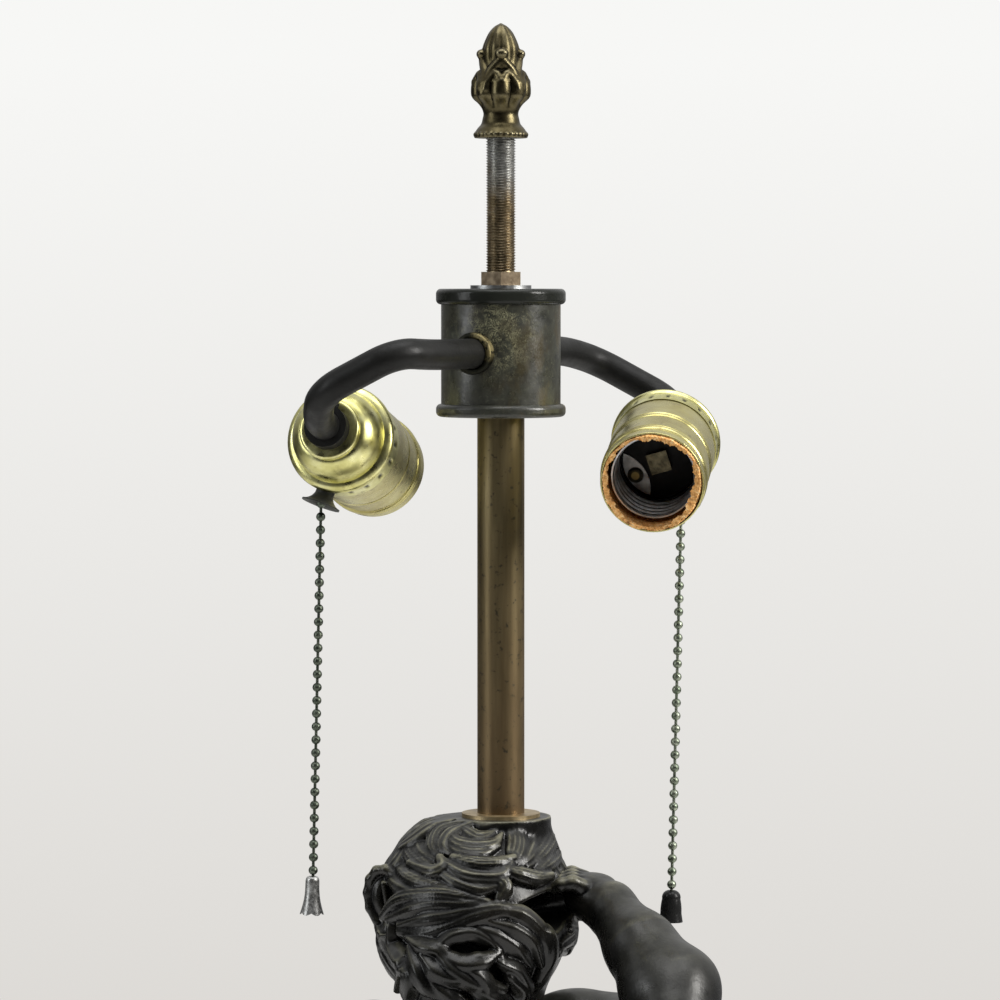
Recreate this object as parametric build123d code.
"""Figural table lamp: a seated cast figure carries a stem with two pull-chain sockets.

Millimetres. +Z is up along the stem, -Y is the front, and the origin is the middle of the
felt underside. Left and right are as seen from the front: left is -X.
"""
from build123d import *
import os
from math import asin, cos, degrees, pi, radians, sin, sqrt, tan

# ------------------------------------------------------------------ driving dimensions
# Fits
running = 0.05          # radial play of a part that turns or slides on another
loose = 0.1             # radial play round a part that only passes through
air = 0.3               # gap kept between parts that mustn't touch

# Base
felt_thick = 2.0
felt_radius = 102.0
plinth_radius = 105.0
plinth_height = 30.0    # above the felt
plinth_wall = 9.0
plinth_shoulder_radius = 98.0
plinth_top_radius = 93.0
plinth_top_thick = 8.0
inlet_height = 9.0      # of the cord inlet's axis above the felt's top
inlet_bore_radius = 3.5
inlet_radius = 5.0
inlet_flange_radius = 7.0
inlet_flange_thick = 2.0
base_screw_circle = 72.0
base_screw_radius = 2.0
base_screw_head_radius = 3.8
base_screw_head_height = 2.4
base_screw_length = 18.0
base_screw_boss_radius = 6.0

# Lamp pipe, 1/8-IP, with its nuts
pipe_radius = 5.15          # of the bare rod, at the thread's crests
pipe_engaged_radius = 4.8   # where a nut or the finial grips the thread
bare_rod_gap = 0.3          # from the bare rod's ends to the nut and the finial
pipe_bore_radius = 3.4
pipe_foot = 9.0         # pipe end above the felt's underside
pipe_slot_width = 4.0
pipe_slot_height = 14.0
nut_flats = 13.5
nut_height = 4.6
pipe_washer_radius = 14.0
pipe_washer_thick = 1.5

# Figure and seat
figure_height = 405.0   # plinth top to the collar on the head
casting_wall = 4.0
casting_bore_radius = 7.0
rock_wall = 5.5
robe_folds = 8
robe_fold_pitch = 9.8
head_collar_radius = 17.4
head_collar_height = 9.0
dowel_radius = 2.0
dowel_length = 14.0

# Stem
disc_radius = 13.55
disc_thick = 1.2
stem_radius = 8.15
stem_wall = 0.9
stem_length = 137.1
bush_length = 8.0

# Cluster
cluster_height = 44.0
cluster_radius = 20.6
cluster_wall = 1.6
cluster_rim_radius = 22.35
cluster_foot_rim = 4.4
cluster_top_rim = 5.4
lid_recess = 0.5
lid_thick = 1.6
lid_spigot = 4.0
cluster_washer_radius = 10.5
cluster_washer_thick = 1.7
exposed_pipe = 45.9

# Finial
finial_height = 39.3
finial_thread_depth = 11.0
finial_lobes = 8

# Arms
arm_radius = 5.15
arm_bore_radius = 3.9
arm_height = 22.0       # of the side holes above the cluster's foot
arm_exit_bearing = 26.7  # degrees from the front, towards the left
arm_run_out = 30.0      # straight run from the cluster's wall
arm_inner_end = 13.0    # from the stem axis
arm_bow = ((-34.7, -58.0), (-60.1, -50.0))   # plan of the left arm's two middle corners
arm_hub_plan = (-59.7, -24.0)                # plan of its socket hub
arm_drops = {"left": (-0.9, 12.7, 24.3), "right": (4.0, 18.0, 25.8)}  # below the side hole
arm_last_run = 9.0
arm_ring_radius = 7.2
arm_ring_depth = 3.2
arm_nut_flats = 13.0
arm_nut_thick = 3.0
wire_radius = 1.1
wire_inner_end = 8.5    # from the stem axis
wire_nut_radius = 2.8
wire_nut_length = 11.0

# Sockets, measured along their axis from the hub's outer face
socket_tilt = 15.0      # degrees that the mouth hangs below level
toe_in = {"left": 14.0, "right": 8.0}        # degrees that the mouth turns to the stem
hub_radius = 7.4
hub_length = 4.5
hub_grip = 5.0          # arm end inside the hub
cap_wall = 0.8
cap_step_radius = 10.6
cap_step_at = 7.0
cap_dome_radius = 15.8
cap_dome_at = 15.5
cap_rim_radius = 19.0
cap_rim_at = 20.0
cap_skirt_radius = 18.3
cap_end_at = 29.0
shell_band_radius = 18.0
shell_radius = 17.6
shell_wall = 0.5
shell_insert = 4.0
shell_groove_at = 45.5
shell_ring_at = 59.5
shell_end_at = 66.5
liner_wall = 0.6
liner_start_at = 46.0
liner_end_at = 68.0
screw_bore_radius = 13.2
screw_wall = 0.4
screw_lip_radius = 14.5
screw_start_at = 44.5
screw_length = 16.0
interior_radius = 15.5
interior_disc_thick = 5.0
interior_pocket_radius = 12.9   # round the contact and the strip, under the screw shell
interior_pocket_depth = 2.4
contact_radius = 3.6
contact_turn = 3.0          # degrees about the socket's axis, from the guide
contact_rise = 1.7          # of the contact's tip above the pocket's floor
strip_radius = 12.4
strip_thick = 0.6
strip_width = 6.6           # across the leaf-shaped strip at its middle
strip_bow_radius = 13.0     # of the strip's inner edge
strip_bearing = -73.0       # degrees from the guide to the strip's screw
strip_screw_circle = 9.5    # radius that the screw stands on
terminal_places = ((-9.0, -6.0), (-9.0, 6.0))
cheek_gap = 8.0
cheek_thick = 2.5
cheek_start_at = 29.0
small_screw_radius = 1.2
small_screw_head = 2.3
terminal_sunk = 2.0         # depth of the terminal screws' shanks in the insulator
small_screw_sunk = 1.8      # shank depth below the pocket's floor
lever_pin_radius = 1.5
lever_hub_radius = 4.0
lever_width = 7.0
lever_reach = 9.0       # lever pin to lever tip
lever_offset = 6.0      # lever pin from the socket's axis
guide_at = 24.5
guide_roll = {"left": 17.0, "right": 13.5}   # degrees about the socket's axis
guide_inner_end = 15.0  # from the socket's axis
guide_throat_radius = 3.3
guide_bore_radius = 2.2
guide_flare_radius = 6.8
guide_throat_end = 19.6
guide_mouth = 23.5

# Pull chains, number 6 bead
bead_radius = 1.6
link_radius = 0.5
bead_pitch = 4.53
bead_count = {"left": 29, "right": 30}
chain_top = 22.9        # middle of the hanging chain's first bead, from the socket's axis
lead_beads = 3
chain_lean = 1.35       # degrees from plumb, towards the left
bell_crown_radius = {"left": 1.6, "right": 1.2}
bell_top_radius = {"left": 2.4, "right": 3.2}
bell_shoulder = {"left": 1.6, "right": 3.0}   # height of the rounding under the crown
bell_flank_bow = {"left": -0.3, "right": 0.15}
bell_mouth_radius = {"left": 4.5, "right": 4.2}
bell_height = {"left": 13.5, "right": 11.0}
bell_wall = 0.6

# ------------------------------------------------------------------ derived places
plinth_top = felt_thick + plinth_height
collar_z = plinth_top + figure_height
disc_top = collar_z + disc_thick
cluster_foot = disc_top + stem_length
cluster_top = cluster_foot + cluster_height
cup_top = cluster_top - cluster_top_rim
arm_z = cluster_foot + arm_height
lid_top = cluster_top - lid_recess
cluster_nut_foot = lid_top + cluster_washer_thick
cluster_nut_top = cluster_nut_foot + nut_height
finial_foot = cluster_nut_top + exposed_pipe
pipe_top = finial_foot + finial_thread_depth - 1.0
pipe_hole = pipe_radius + loose
rim_round = cluster_rim_radius - cluster_radius - 0.1
rim_bulge = -0.28 * rim_round
interior_back_at = screw_start_at - interior_disc_thick
pocket_floor_at = screw_start_at - interior_pocket_depth
lever_pin_at = guide_at + lever_reach
sides = {"left": -1, "right": 1}


# ------------------------------------------------------------------ shape helpers
def turned(*outline):
    """Solid of revolution about Z. Each corner is (radius, height) or, where the edge that
    ends there is an arc, (radius, height, rise of the arc)."""
    edges = []
    for here, there in zip(outline, outline[1:] + outline[:1]):
        if len(there) == 3:
            edges.append(SagittaArc(here[:2], there[:2], there[2]))
        else:
            edges.append(Line(here[:2], there[:2]))
    return Rot(90, 0, 0) * revolve(make_face(Wire(edges)), Axis.Y)


def tube(outer, inner, foot, top):
    return turned((inner, foot), (outer, foot), (outer, top), (inner, top))


def rod(radius, foot, top):
    return Pos(0, 0, (foot + top) / 2) * Cylinder(radius, top - foot)


def hex_nut(flats, bore, foot, top):
    blank = extrude(Pos(0, 0, foot) * RegularPolygon(flats / 2, 6, major_radius=False), top - foot)
    return blank - rod(bore, foot - 1, top + 1)


def along(start, end):
    """Frame at start with its Z towards end."""
    return Plane(origin=start, z_dir=Vector(*end) - Vector(*start))


def limb(start, end, start_radius, end_radius):
    """Tapered bar whose side is tangent to a ball at each end."""
    span = (Vector(*end) - Vector(*start)).length
    lean = degrees(asin((start_radius - end_radius) / span))

    def on_ball(radius, height, angle):
        return (radius * cos(radians(angle)), height + radius * sin(radians(angle)))

    foot = [on_ball(start_radius, 0, angle) for angle in (-90, (lean - 90) / 2, lean)]
    tip = [on_ball(end_radius, span, angle) for angle in (lean, (lean + 90) / 2, 90)]
    outline = Wire([ThreePointArc(*foot), Line(foot[2], tip[0]), ThreePointArc(*tip), Line(tip[2], foot[0])])
    return along(start, end) * (Rot(90, 0, 0) * revolve(make_face(outline), Axis.Y))


def ball(centre, radius):
    return Pos(*centre) * Sphere(radius)


def egg(centre, radii, turn=(0, 0, 0)):
    return Pos(*centre) * (Rot(*turn) * scale(Sphere(1), by=radii))


def fused(*solids):
    whole = solids[0]
    for solid in solids[1:]:
        whole += solid
    return whole


def without(solid, *others):
    for other in others:
        solid -= other
    return solid


def ring_of(solid, count, start=0):
    """Copies of a solid turned evenly round Z."""
    return [Rot(0, 0, start + 360 * index / count) * solid for index in range(count)]


def as_group(solids):
    return Compound(children=list(solids))


def up_from_collar(x, y, rise):
    return (x, y, collar_z + rise)


# ------------------------------------------------------------------ base
def base_felt():
    return rod(felt_radius, 0, felt_thick)


def base_plinth():
    foot, under = felt_thick, plinth_top - plinth_top_thick
    body = turned(
        (pipe_hole, under), (plinth_top_radius - plinth_wall + 2, under),
        (plinth_radius - plinth_wall, foot), (plinth_radius, foot),
        (plinth_radius, foot + 17), (plinth_radius - 2.5, foot + 19.5, -0.7),
        (plinth_shoulder_radius, foot + 21), (plinth_top_radius + 2, foot + 26, 1.2),
        (plinth_top_radius, plinth_top), (pipe_hole, plinth_top))
    inlet_z = foot + inlet_height
    bore = Pos(0, plinth_radius - plinth_wall, inlet_z) * (Rot(-90, 0, 0) * Cylinder(inlet_radius, 40))
    recess = Pos(0, plinth_radius + 5 - inlet_flange_thick, inlet_z) * (
        Rot(-90, 0, 0) * Cylinder(inlet_flange_radius, 10))
    screw = rod(base_screw_radius + loose, under - 1, plinth_top + 1)
    holes = ring_of(Pos(0, base_screw_circle, 0) * screw, 3, 60)
    return without(body, bore, recess, *holes)


def inlet_bushing():
    length = plinth_wall + 7
    bushing = turned((inlet_bore_radius, 0), (inlet_radius, 0), (inlet_radius, length),
                     (inlet_flange_radius - 0.1, length), (inlet_flange_radius - 0.1, length + 1.6),
                     (inlet_bore_radius + 1, length + 1.9, 0.2), (inlet_bore_radius, length + 1.2))
    seat = (0, plinth_radius - inlet_flange_thick - length, felt_thick + inlet_height)
    return Pos(*seat) * (Rot(-90, 0, 0) * bushing)


def pipe_washer():
    under = plinth_top - plinth_top_thick
    return tube(pipe_washer_radius, pipe_hole, under - pipe_washer_thick, under)


def pipe_locknuts():
    """The nut under the plinth and the one inside the cluster's foot."""
    under = plinth_top - plinth_top_thick - pipe_washer_thick
    inside = cluster_foot + cluster_wall
    return as_group([hex_nut(nut_flats, pipe_engaged_radius, under - nut_height, under),
                     hex_nut(nut_flats, pipe_engaged_radius, inside, inside + nut_height)])


def base_screws():
    under = plinth_top - plinth_top_thick
    screw = fused(rod(base_screw_radius, under, under + base_screw_length),
                  rod(base_screw_head_radius, under - base_screw_head_height, under))
    return as_group(ring_of(Pos(0, base_screw_circle, 0) * screw, 3, 60))


def crag(levels, corners, phase, inset=0):
    """Rock face: flat facets through rings of corners. A level is x, y, height, radius."""
    rings = []
    for x, y, height, radius in levels:
        points = []
        for index in range(corners):
            angle = 2 * pi * index / corners
            reach = radius * (1 + 0.07 * sin(3 * angle + phase + height / 40)) - inset
            points.append((x + reach * cos(angle), y + reach * sin(angle)))
        rings.append(Pos(0, 0, height) * make_face(Polyline(*points, close=True)))
    return loft(rings, ruled=True)


def rock_levels():
    foot, seat = plinth_top, collar_z - 238
    return [(0, 4, foot, 82), (0, 6, foot + 14, 84), (2, 12, foot + 50, 68),
            (-2, 16, foot + 100, 58), (0, 20, seat, 50)]


def rock_seat(robe, feet):
    foot = plinth_top
    body = crag(rock_levels(), 11, 0.6)
    ledge = crag([(0, -46, foot, 50), (0, -44, foot + 12, 46)], 9, 1.4)
    boulder = crag([(-58, 26, foot, 30), (-54, 28, foot + 30, 24), (-48, 28, foot + 52, 12)], 7, 2.0)
    stone = crag([(54, 36, foot, 28), (52, 34, foot + 24, 20), (48, 32, foot + 36, 10)], 7, 0.9)
    whole = fused(body, ledge, boulder, stone)
    hollow = crag([(x, y, z, r - rock_wall) for x, y, z, r in rock_levels()[:4]], 11, 0.6)
    channel = rod(casting_bore_radius, foot - 1, collar_z)
    tip = plinth_top - plinth_top_thick + base_screw_length
    bosses = ring_of(Pos(0, base_screw_circle, 0) * rod(base_screw_boss_radius, foot, tip + 4), 3, 60)
    holes = ring_of(Pos(0, base_screw_circle, 0) * rod(base_screw_radius, foot - 1, tip), 3, 60)
    shell = fused(whole - hollow, *bosses)
    return without(shell, channel, robe, feet, *holes)


# ------------------------------------------------------------------ figure
def torso_sections(inset):
    """Cross-sections from the seat to the neck: forward shift, rise, half width, half depth."""
    sizes = [(18, -248, 38, 28), (17, -224, 41, 30), (13, -172, 34, 23), (11, -128, 41, 26),
             (10, -100, 45, 25), (12, -78, 30, 17)]
    return [Pos(*up_from_collar(0, y, rise)) * Ellipse(wide - inset, deep - inset)
            for y, rise, wide, deep in sizes]


def raw_torso():
    muscles = []
    for side in sides.values():
        muscles += [egg(up_from_collar(side * 18, -6, -107), (19, 13, 14), (12, 0, side * 8)),
                    limb(up_from_collar(side * 10, 13, -80), up_from_collar(side * 38, 5, -82), 12.5, 14.5),
                    limb(up_from_collar(side * 34, 10, -100), up_from_collar(side * 27, 14, -158), 13, 9)]
    belly = egg(up_from_collar(0, -2, -176), (24, 12, 26))
    return fused(loft(torso_sections(0)), belly, *muscles)


def casting_channel():
    return rod(casting_bore_radius, plinth_top - 1, collar_z - head_collar_height)


def dowel_places():
    """Frames of the dowels that join the castings: the shoulders, the neck and the lap."""
    return [along(up_from_collar(-34, 5, -86), up_from_collar(-60, 3, -90)),
            along(up_from_collar(33, 6, -86), up_from_collar(60, 2, -90)),
            along(up_from_collar(-2, 19, -90), up_from_collar(-2, 15, -60)),
            along(up_from_collar(26, 14, -214), up_from_collar(46, 8, -232))]


def dowel_holes():
    return [place * rod(dowel_radius, -0.2, dowel_length + 0.2) for place in dowel_places()]


def figure_torso():
    inner = loft(torso_sections(casting_wall)[1:-1])
    return without(raw_torso(), inner, casting_channel(), *dowel_holes())


def raw_head():
    """Bowed head: hair, forelocks over the brow, and a plain bearded face that looks down."""
    locks = [(-33, -22, -46, 9), (-21, -34, -49, 10.5), (-5, -38, -47, 10), (10, -33, -46, 9.5),
             (21, -19, -44, 9), (-38, -6, -55, 9), (-34, 4, -66, 9), (16, 6, -50, 11)]
    curls = [ball(up_from_collar(x, y, rise), radius) for x, y, rise, radius in locks]
    skull = egg(up_from_collar(-8, -5, -35), (31.5, 33, 34))
    nape = egg(up_from_collar(-4, 14, -48), (24, 16, 24))
    face = egg(up_from_collar(-14, -20, -58), (16.5, 15, 20), (42, -12, 0))
    nose = limb(up_from_collar(-15.5, -33, -60), up_from_collar(-15.5, -32, -70), 2.2, 3.4)
    beard = egg(up_from_collar(-12, -17, -80), (13, 11, 17), (12, -6, 0))
    neck = limb(up_from_collar(-4, 6, -56), up_from_collar(0, 12, -86), 17, 17.5)
    ear = egg(up_from_collar(-40, -4, -28.5), (5.5, 7, 12.5), (0, -8, 14))
    collar = rod(head_collar_radius, collar_z - head_collar_height, collar_z)
    return fused(skull, nape, collar, neck, face, nose, beard, ear, *curls)


def figure_head(torso):
    channel = rod(casting_bore_radius, collar_z - 110, collar_z - head_collar_height)
    hole = rod(pipe_hole, collar_z - head_collar_height - 1, collar_z + 1)
    return without(raw_head(), torso, channel, hole, *dowel_holes())


def figure_raised_arm(torso, head):
    """Arm lifted to the head: elbow forward, hand in the hair beside the collar."""
    shoulder, elbow = up_from_collar(43, 3, -84), up_from_collar(57, -62, -57)
    middle, wrist = up_from_collar(45, -38, -37), up_from_collar(32, -15, -26.5)
    palm = limb(wrist, up_from_collar(28, -4, -19), 9, 9.5)
    fingers = [limb(up_from_collar(28, -12 + 5.5 * row, -15.5), up_from_collar(17, -19 + 6 * row, -13.5), 4, 3.2)
               for row in range(4)]
    arm = fused(limb(shoulder, elbow, 18.5, 14), limb(elbow, middle, 14.5, 13), limb(middle, wrist, 12.5, 8.5),
                palm, *fingers)
    return without(arm, torso, head, *dowel_holes())


def figure_resting_arm(torso, robe, head):
    """Arm that hangs and rests its hand on the thigh."""
    shoulder, elbow = up_from_collar(-43, 4, -84), up_from_collar(-62, 20, -160)
    middle, wrist = up_from_collar(-57, -2, -180), up_from_collar(-48, -36, -212)
    palm = limb(wrist, up_from_collar(-42, -54, -229), 8.5, 9.5)
    fingers = [limb(up_from_collar(-49 + 5 * row, -57, -231), up_from_collar(-47 + 5 * row, -72, -250), 4, 3.2)
               for row in range(4)]
    arm = fused(limb(shoulder, elbow, 18.5, 13), limb(elbow, middle, 13.5, 13), limb(middle, wrist, 12.5, 8),
                palm, *fingers)
    return without(arm, torso, robe, head, *dowel_holes())


def leg_places(side):
    """Hip, knee and hem of a covered leg."""
    return (up_from_collar(side * 20, 14, -232), up_from_collar(side * 40, -78, -286),
            up_from_collar(side * 36, -58, -364))


def raw_robe():
    lap = egg(up_from_collar(0, -24, -256), (42, 54, 24), (24, 0, 0))
    seat = egg(up_from_collar(0, 17, -236), (49, 41, 27))
    pieces = [seat, lap]
    for side in sides.values():
        hip, knee, hem = leg_places(side)
        pieces += [limb(hip, knee, 28, 21), limb(knee, hem, 20, 16),
                   egg(up_from_collar(side * 50, 14, -268), (14, 30, 46), (0, side * 6, 0))]
    for fold in range(robe_folds):
        x = robe_fold_pitch * (fold - (robe_folds - 1) / 2)
        sag = 9 * sin(pi * (fold + 0.5) / robe_folds)
        pieces.append(limb(up_from_collar(x, -74 + sag, -280 - sag), up_from_collar(x * 0.95, -60, -360), 6.5, 8))
    roll = [up_from_collar(-44, -2, -206), up_from_collar(-26, -18, -214), up_from_collar(4, -24, -218),
            up_from_collar(30, -17, -212), up_from_collar(45, 0, -204)]
    pieces += [limb(start, end, 8 + 0.3 * index, 8.3 + 0.3 * index)
               for index, (start, end) in enumerate(zip(roll, roll[1:]))]
    return fused(*pieces)


def figure_robe(whole, torso):
    below_hem = Pos(0, 0, plinth_top + 16) * Box(400, 400, 100, align=(Align.CENTER, Align.CENTER, Align.MAX))
    inside = [egg(up_from_collar(0, 17, -236), (49 - casting_wall, 41 - casting_wall, 27 - casting_wall))]
    for side in sides.values():
        hip, knee, hem = leg_places(side)
        inside += [limb(hip, knee, 28 - casting_wall, 21 - casting_wall),
                   limb(knee, hem, 20 - casting_wall, 16 - casting_wall)]
    return without(whole, torso, fused(*inside), casting_channel(), below_hem, *dowel_holes())


def foot(side):
    sole = plinth_top + 12
    instep = limb((side * 37, -54, sole + 26), (side * 38, -66, sole + 7), 9.5, 8)
    heel = ball((side * 37, -50, sole + 7), 9)
    toes = egg((side * 41, -78, sole + 4), (11, 13, 7), (0, 0, -side * 8))
    below = Pos(0, 0, sole) * Box(400, 400, 60, align=(Align.CENTER, Align.CENTER, Align.MAX))
    return fused(instep, heel, toes) - below


def figure_feet(robe):
    return as_group([foot(side) - robe for side in sides.values()])


def casting_pins():
    return as_group([place * rod(dowel_radius, 0, dowel_length) for place in dowel_places()])


# ------------------------------------------------------------------ stem and cluster
def centre_pipe():
    gripped = tube(pipe_engaged_radius, pipe_bore_radius, pipe_foot, pipe_top)
    bare = tube(pipe_radius, pipe_bore_radius, cluster_nut_top + bare_rod_gap, finial_foot - bare_rod_gap)
    slot = Pos(0, 0, cluster_foot + 12 + pipe_slot_height / 2) * Box(
        pipe_radius * 3, pipe_slot_width, pipe_slot_height)
    half = Pos(pipe_radius * 1.5, 0, 0) * slot
    return fused(gripped, bare) - half


def collar_disc():
    return tube(disc_radius, pipe_hole, collar_z, disc_top)


def stem_tube():
    return tube(stem_radius, stem_radius - stem_wall, disc_top, cluster_foot)


def stem_bushes():
    inner = stem_radius - stem_wall
    return as_group([tube(inner, pipe_hole, disc_top, disc_top + bush_length),
                     tube(inner, pipe_hole, cluster_foot - bush_length, cluster_foot)])


def arm_direction(side):
    """Level direction in which an arm leaves the cluster."""
    bearing = radians(arm_exit_bearing)
    return Vector(side * sin(bearing), side * cos(bearing), 0)


def on_arm_axis(side, solid):
    """Places a solid made on Z along the arm's way out of the cluster."""
    return Plane(origin=(0, 0, arm_z), z_dir=arm_direction(side)) * solid


def cluster_cup():
    inner = cluster_radius - cluster_wall
    lip = cluster_rim_radius - rim_round
    foot, rim_top = cluster_foot, cluster_foot + cluster_foot_rim
    body = turned((pipe_hole, foot), (lip, foot), (cluster_rim_radius, foot + rim_round, rim_bulge),
                  (cluster_rim_radius, rim_top - rim_round), (lip, rim_top, rim_bulge),
                  (cluster_radius, rim_top), (cluster_radius, cup_top), (inner, cup_top),
                  (inner, foot + cluster_wall), (pipe_hole, foot + cluster_wall))
    holes = [on_arm_axis(side, rod(arm_radius, 10, cluster_radius + 5)) for side in sides.values()]
    return without(body, *holes)


def cluster_lid():
    inner = cluster_radius - cluster_wall - running
    lip = cluster_rim_radius - rim_round
    return turned((pipe_hole, lid_top - lid_thick), (inner - 1.4, lid_top - lid_thick),
                  (inner - 1.4, cup_top - lid_spigot), (inner, cup_top - lid_spigot), (inner, cup_top),
                  (lip, cup_top), (cluster_rim_radius, cup_top + rim_round, rim_bulge),
                  (cluster_rim_radius, cluster_top - rim_round), (lip, cluster_top, rim_bulge),
                  (lip - 1, cluster_top), (lip - 1.6, lid_top), (pipe_hole, lid_top))


def cluster_washer():
    return tube(cluster_washer_radius, pipe_hole, lid_top, cluster_nut_foot)


def cluster_nut():
    return Rot(0, 0, 30) * hex_nut(nut_flats, pipe_engaged_radius, cluster_nut_foot, cluster_nut_top)


def finial():
    """Bud on a lobed bulb, with curled leaf tips at its neck and a flared foot."""
    foot = finial_foot
    body = turned((0, foot), (8.6, foot), (9.1, foot + 0.6, -0.15), (9.1, foot + 1.8), (8.3, foot + 3.1, -0.3),
                  (6.2, foot + 6.2, 0.4), (6.1, foot + 8.8), (9.0, foot + 12.6, 0.6), (9.9, foot + 16.0, -0.3),
                  (9.2, foot + 19.6, -0.3), (6.9, foot + 24.0, 0.5), (6.5, foot + 27.6, 0.3),
                  (6.1, foot + 31.5, -0.4), (4.3, foot + 36.0, -0.4), (1.8, foot + finial_height - 0.7, -0.2),
                  (0.9, foot + finial_height), (0, foot + finial_height))
    lobe = limb((6.9, 0, foot + 12.2), (6.4, 0, foot + 18.2), 2.6, 4.0)
    curl = ball((6.4, 0, foot + 27.2), 2.2)
    ornament = fused(body, *ring_of(lobe, finial_lobes, 22.5), *ring_of(curl, 4))
    return ornament - rod(pipe_engaged_radius + running, foot - 1, foot + finial_thread_depth)


# ------------------------------------------------------------------ arms and wires
def socket_axis(name):
    """Unit direction from a socket's hub to its mouth."""
    side, toe, tilt = sides[name], radians(toe_in[name]), radians(socket_tilt)
    return Vector(-side * sin(toe) * cos(tilt), -side * cos(toe) * cos(tilt), -sin(tilt))


def hub_point(name):
    side = sides[name]
    return Vector(-side * arm_hub_plan[0], -side * arm_hub_plan[1], arm_z - arm_drops[name][2])


def arm_corners(name, start, into_hub):
    """Corner points of an arm's middle line, from the cluster to inside the socket's hub."""
    side = sides[name]
    out = arm_direction(side)
    hub, axis = hub_point(name), socket_axis(name)
    centre = Vector(0, 0, arm_z)
    bow = [Vector(-side * x, -side * y, arm_z - drop) for (x, y), drop in zip(arm_bow, arm_drops[name])]
    return [centre + out * start, centre + out * (cluster_radius + arm_run_out), *bow,
            hub - axis * arm_last_run, hub + axis * into_hub]


def bent_path(corners):
    """Straight runs joined by arcs as large as the shorter run beside each corner allows."""
    radii = []
    for before, corner, after in zip(corners, corners[1:], corners[2:]):
        arriving, leaving = corner - before, after - corner
        turn = radians(arriving.get_angle(leaving))
        radii.append(0.45 * min(arriving.length, leaving.length) / tan(turn / 2))
    print("  bend radii", [round(radius, 1) for radius in radii])
    return FilletPolyline(*corners, radius=radii)


def swept(path, radius, bore=0):
    section = Circle(radius) - Circle(bore) if bore else Circle(radius)
    return sweep(Plane(origin=path @ 0, z_dir=path % 0) * section, path=path)


def bent_arm(name):
    corners = arm_corners(name, arm_inner_end, hub_grip)
    path = bent_path(corners)
    return swept(path, arm_radius) - swept(bent_path(corners), arm_bore_radius)


def arm_wire(name):
    """Lead from its wire nut in the cluster, through the arm, to the socket's back."""
    side, hub, axis = sides[name], hub_point(name), socket_axis(name)
    away = socket_frame(name).x_dir * -8
    corners = arm_corners(name, wire_inner_end, 8.0)
    corners += [hub + axis * 22 + away, hub + axis * (interior_back_at - 0.1) + away]
    return swept(bent_path(corners), wire_radius)


def wire_nuts():
    """Twist-on connectors, standing in the cluster beside the pipe."""
    caps = []
    for side in sides.values():
        out = arm_direction(side)
        tip = out * wire_inner_end
        foot = arm_z + wire_radius
        caps.append(Pos(tip.X, tip.Y, 0) * rod(wire_nut_radius, foot, foot + wire_nut_length))
    return as_group(caps)


def arm_rings():
    rings = []
    for side in sides.values():
        ring = on_arm_axis(side, turned(
            (arm_radius + loose, cluster_radius - 2), (arm_ring_radius, cluster_radius - 2),
            (arm_ring_radius, cluster_radius + 1.2), (arm_radius + loose, cluster_radius + arm_ring_depth - 1.6, -0.5)))
        rings.append(ring - rod(cluster_radius, arm_z - 30, arm_z + 30))
    return as_group(rings)


def arm_locknuts():
    return as_group([on_arm_axis(side, hex_nut(arm_nut_flats, arm_radius, arm_inner_end + 0.5,
                                               arm_inner_end + 0.5 + arm_nut_thick)) for side in sides.values()])


# ------------------------------------------------------------------ sockets
def socket_frame(name):
    """Z along the socket towards its mouth, X along the chain guide."""
    axis = socket_axis(name)
    down = (Vector(0, 0, -1) + axis * axis.Z).normalized()
    roll = radians(guide_roll[name])
    guide = down * cos(roll) + axis.cross(down) * sin(roll)
    return Plane(origin=hub_point(name), x_dir=guide, z_dir=axis)


def on_guide_axis(solid):
    """Turns a solid made on Z onto the chain guide, inside the socket's frame."""
    return Pos(0, 0, guide_at) * (Rot(0, 90, 0) * solid)


def hub_collar():
    return tube(hub_radius, arm_radius, 0, hub_length)


def socket_cap():
    step, dome, rim, skirt, end = cap_step_at, cap_dome_at, cap_rim_at, cap_skirt_radius, cap_end_at
    wall = cap_wall
    body = turned((arm_radius, hub_length), (cap_step_radius - 1.2, hub_length),
                  (cap_step_radius, hub_length + 1.2, -0.3), (cap_step_radius, step),
                  (cap_step_radius + 0.8, step + 0.3), (cap_dome_radius, dome, -1.4), (cap_dome_radius + 0.4, rim - 2.4),
                  (cap_rim_radius, rim, -1.0), (skirt, rim + 1.6, -0.4), (skirt, end),
                  (skirt - wall, end), (skirt - wall, rim), (cap_dome_radius - wall, rim - 1.6),
                  (cap_dome_radius - wall, dome + 0.3), (cap_step_radius, step + 1.2, 1.3),
                  (cap_step_radius - wall, step), (cap_step_radius - wall, hub_length + wall), (arm_radius, hub_length + wall))
    return body - on_guide_axis(rod(guide_throat_radius + loose, 10, 30))


def socket_shell():
    outer, wall, end = shell_radius, shell_wall, shell_end_at
    insert_top = cap_skirt_radius - cap_wall - loose
    start, gap = cap_end_at - shell_insert, cap_end_at + air
    body = turned((insert_top, start), (insert_top, gap), (shell_band_radius, gap),
                  (shell_band_radius, shell_groove_at - 1.8), (outer, shell_groove_at - 1),
                  (shell_band_radius, shell_groove_at, -0.1), (outer, shell_groove_at + 1, -0.1),
                  (outer, shell_ring_at - 2.2), (shell_band_radius, shell_ring_at, -0.4),
                  (outer, shell_ring_at + 2.2, -0.4), (outer, end - 0.4), (outer - 0.3, end, -0.1),
                  (outer - wall, end), (outer - wall, gap + 1), (insert_top - wall, gap + 1), (insert_top - wall, start))
    return body - on_guide_axis(rod(guide_throat_radius + loose, 10, 30))


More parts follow.
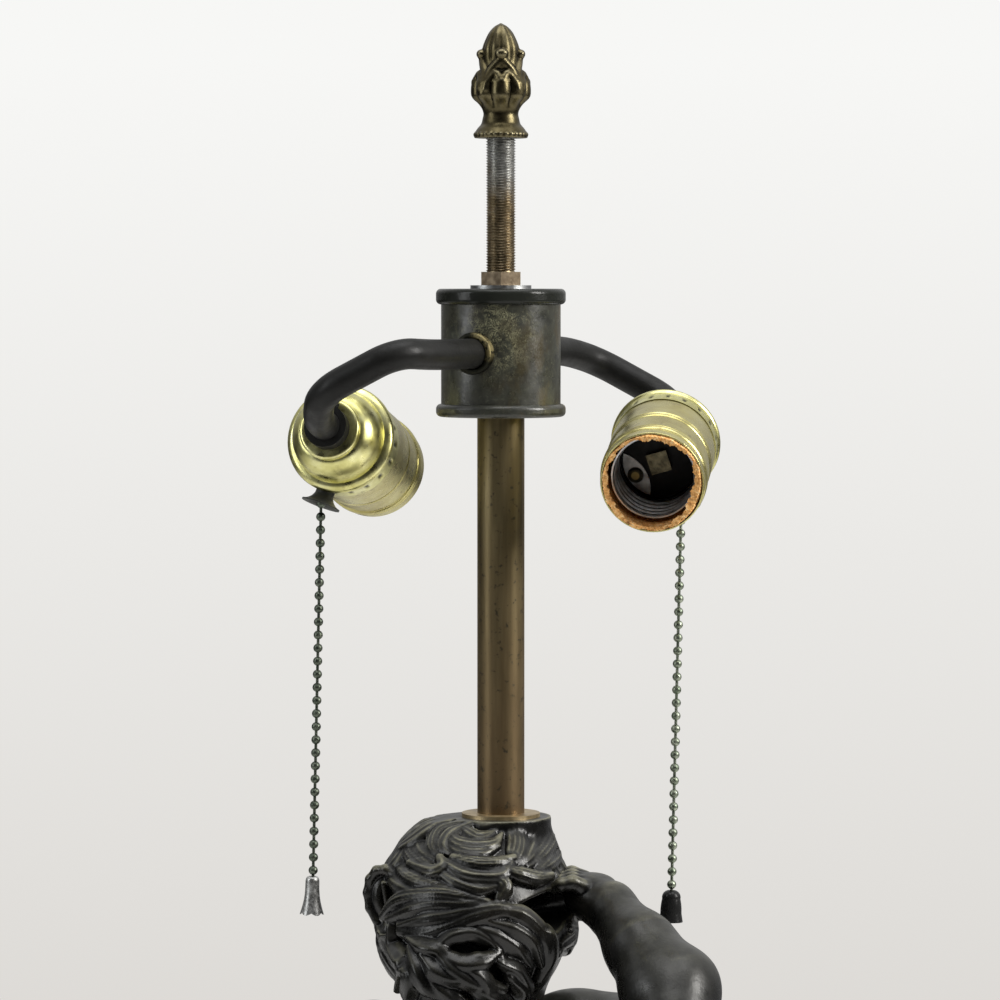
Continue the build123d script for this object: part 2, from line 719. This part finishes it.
def socket_liner():
    outer = shell_radius - shell_wall - loose
    return tube(outer, outer - liner_wall, liner_start_at, liner_end_at)


def socket_interior():
    disc = rod(interior_radius, interior_back_at, screw_start_at)
    pocket = rod(interior_pocket_radius, pocket_floor_at, screw_start_at + 1)
    cheeks = [Pos(lever_offset, side * (cheek_gap + cheek_thick) / 2, (cheek_start_at + interior_back_at) / 2)
              * Box(10, cheek_thick, interior_back_at - cheek_start_at) for side in (-1, 1)]
    pin_hole = lever_place() * Cylinder(lever_pin_radius, 40)
    terminals = [Pos(*place, 0) * rod(small_screw_radius, interior_back_at - 1, interior_back_at + terminal_sunk)
                 for place in terminal_places]
    strip_hole = Pos(*strip_screw_place()) * rod(small_screw_radius, -small_screw_sunk, 1)
    rivet_hole = rod(small_screw_radius, pocket_floor_at - small_screw_sunk, screw_start_at)
    return without(fused(disc, *cheeks), pocket, pin_hole, *terminals, strip_hole, rivet_hole)


def screw_shell():
    bore, end = screw_bore_radius, screw_start_at + screw_length
    return turned((bore, screw_start_at), (bore + screw_wall, screw_start_at), (bore + screw_wall, end - 0.9),
                  (screw_lip_radius, end - 0.4, 0.1), (screw_lip_radius, end), (bore, end))


def centre_contact():
    """Sprung tongue with a square tip over a rivet."""
    blade_at = pocket_floor_at + contact_rise
    blade = Pos(0, 0, blade_at) * (Rot(0, 0, contact_turn) * Box(contact_radius * 2, contact_radius * 2, 0.5))
    return fused(blade, rod(small_screw_radius, pocket_floor_at - small_screw_sunk, blade_at))


def strip_screw_place():
    bearing = radians(strip_bearing)
    return (strip_screw_circle * cos(bearing), strip_screw_circle * sin(bearing), pocket_floor_at)


def shell_strip():
    """Leaf-shaped plate beside the screw shell's foot, with its screw."""
    plate = rod(strip_radius, pocket_floor_at, pocket_floor_at + strip_thick)
    bow_centre = strip_radius - strip_width + strip_bow_radius
    inner_edge = Rot(0, 0, strip_bearing) * (Pos(bow_centre, 0, 0) * rod(strip_bow_radius, 0, 100))
    head = Pos(*strip_screw_place()) * rod(small_screw_head, 0, 1.6)
    shank = Pos(*strip_screw_place()) * rod(small_screw_radius, -small_screw_sunk, 1)
    return fused(plate & inner_edge, head, shank)


def chain_guide():
    bore, throat, flare = guide_bore_radius, guide_throat_radius, guide_flare_radius
    body = turned((bore, guide_inner_end), (throat, guide_inner_end), (throat, guide_throat_end),
                  (flare, guide_mouth - 0.5, 0.7), (flare, guide_mouth), (flare - 0.6, guide_mouth),
                  (bore, guide_throat_end, -0.8))
    return on_guide_axis(body)


def lever_place():
    """Frame of the lever's pin, which lies across the socket."""
    return Pos(lever_offset, 0, lever_pin_at) * Rot(90, 0, 0)


def switch_lever():
    hub = lever_place() * Cylinder(lever_hub_radius, lever_width)
    blade = Pos(lever_offset, 0, lever_pin_at - lever_reach / 2) * Box(2.2, 3.0, lever_reach)
    return fused(hub, blade) - lever_place() * Cylinder(lever_pin_radius + running, 40)


def beads(count, tail, nose=0):
    """Balls strung on a wire from the origin down -Z, with a plain tail past the last and a
    plain nose before the first."""
    reach = sqrt(bead_radius ** 2 - link_radius ** 2)
    start = (link_radius, bead_radius + nose)
    edges, last = [], start
    for index in range(count):
        middle = -index * bead_pitch
        top, foot = (link_radius, middle + reach), (link_radius, middle - reach)
        edges.append(Line(last, top))
        edges.append(ThreePointArc(top, (bead_radius, middle), foot))
        last = foot
    end = (link_radius, -(count - 1) * bead_pitch - bead_radius - tail)
    foot, crown = (0, end[1]), (0, start[1])
    edges += [Line(last, end), Line(end, foot), Line(foot, crown), Line(crown, start)]
    return Rot(90, 0, 0) * revolve(make_face(Wire(edges)), Axis.Y)


def pull_lead():
    """The beads inside the guide, from the switch lever's tip to the hanging chain."""
    outermost = chain_top - bead_pitch
    string = Rot(0, 90, 0) * beads(lead_beads, air, bead_pitch - 2 * bead_radius - air)
    return Pos(outermost, 0, guide_at) * string


def chain_frame(name):
    """Z against the hanging chain, from its first bead."""
    first = (socket_frame(name) * Pos(chain_top, 0, guide_at)).position
    lean = radians(chain_lean)
    return Plane(origin=first, x_dir=(cos(lean), 0, -sin(lean)), z_dir=(sin(lean), 0, cos(lean)))


def pull_chain(name):
    return chain_frame(name) * beads(bead_count[name], 1.2)


def chain_bell(name):
    top, mouth, height = bell_top_radius[name], bell_mouth_radius[name], bell_height[name]
    shoulder, flat, wall = bell_shoulder[name], bell_crown_radius[name], bell_wall
    crown = -(bead_count[name] - 1) * bead_pitch - bead_radius - 0.4
    foot = crown - height
    bell = turned((link_radius, crown), (flat, crown), (top, crown - shoulder, 0.25 * shoulder),
                  (mouth - 0.5, foot + 3, bell_flank_bow[name]), (mouth, foot), (mouth - wall, foot),
                  (top - wall, crown - shoulder - 0.8, -0.2), (link_radius, crown - 2.0))
    return chain_frame(name) * bell


def hub_screws():
    """Set screws through the hubs, one a socket."""
    screw = Pos(0, 0, hub_length / 2) * (Rot(0, 90, 0) * rod(1.4, arm_radius, hub_radius + 1.4))
    return as_group([socket_frame(name) * (Rot(0, 0, 180) * screw) for name in sides])


def terminal_screws():
    screws = []
    for name in sides:
        for place in terminal_places:
            screw = fused(rod(small_screw_radius, interior_back_at - 1, interior_back_at + terminal_sunk),
                          rod(small_screw_head, interior_back_at - 2.4, interior_back_at - 0.8))
            screws.append(socket_frame(name) * (Pos(*place, 0) * screw))
    return as_group(screws)


def lever_pins():
    pin = lever_place() * Cylinder(lever_pin_radius, cheek_gap + 2 * cheek_thick)
    return as_group([socket_frame(name) * pin for name in sides])


def hub_collars():
    holes = Pos(0, 0, hub_length / 2) * (Rot(0, 90, 0) * rod(1.4, 0, 20))
    return as_group([socket_frame(name) * (hub_collar() - Rot(0, 0, 180) * holes) for name in sides])


# ------------------------------------------------------------------ assembly
def all_parts():
    torso = raw_torso()
    whole_robe = raw_robe()
    robe = figure_robe(whole_robe, torso)
    feet = figure_feet(whole_robe)
    head = figure_head(torso)
    parts = {
        "base_felt": base_felt(), "base_plinth": base_plinth(), "inlet_bushing": inlet_bushing(),
        "pipe_washer": pipe_washer(), "pipe_locknuts": pipe_locknuts(), "base_screws": base_screws(),
        "rock_seat": rock_seat(fused(whole_robe, torso), feet),
        "figure_torso": figure_torso(), "figure_head": head,
        "figure_raised_arm": figure_raised_arm(torso, head),
        "figure_resting_arm": figure_resting_arm(torso, robe, head),
        "figure_robe": robe, "figure_feet": feet, "casting_pins": casting_pins(),
        "centre_pipe": centre_pipe(), "collar_disc": collar_disc(), "stem_tube": stem_tube(),
        "stem_bushes": stem_bushes(), "cluster_cup": cluster_cup(), "cluster_lid": cluster_lid(),
        "cluster_washer": cluster_washer(), "cluster_nut": cluster_nut(), "finial": finial(),
        "arm_rings": arm_rings(), "arm_locknuts": arm_locknuts(), "wire_nuts": wire_nuts(),
        "hub_collars": hub_collars(), "hub_screws": hub_screws(),
        "terminal_screws": terminal_screws(), "lever_pins": lever_pins(),
    }
    for name in sides:
        frame = socket_frame(name)
        parts[name + "_arm"] = bent_arm(name)
        parts[name + "_arm_wire"] = arm_wire(name)
        for piece in (socket_cap, socket_shell, socket_liner, socket_interior, screw_shell, centre_contact,
                      shell_strip, chain_guide, switch_lever, pull_lead):
            parts[name + "_" + piece.__name__] = frame * piece()
        parts[name + "_pull_chain"] = pull_chain(name)
        parts[name + "_chain_bell"] = chain_bell(name)
    return parts


def report_places():
    for name in sides:
        frame, axis = socket_frame(name), socket_axis(name)
        print(name, "hub", hub_point(name), "axis", axis, "guide", frame.x_dir)
        print("  chain pivot", chain_frame(name).origin)
        print("  lever pin", (frame * (Pos(lever_offset, 0, lever_pin_at))).position, "along", frame.y_dir)
        print("  screw bore middle", hub_point(name) + axis * (screw_start_at + screw_length / 2))
    print("collar", collar_z, "arms", arm_z, "pipe from", cluster_nut_top, "to", finial_foot)


os.makedirs("parts", exist_ok=True)
for node, shape in all_parts().items():
    print(node, len(shape.solids()), round(shape.volume))
    export_step(shape, os.path.join("parts", node + ".step"))
report_places()
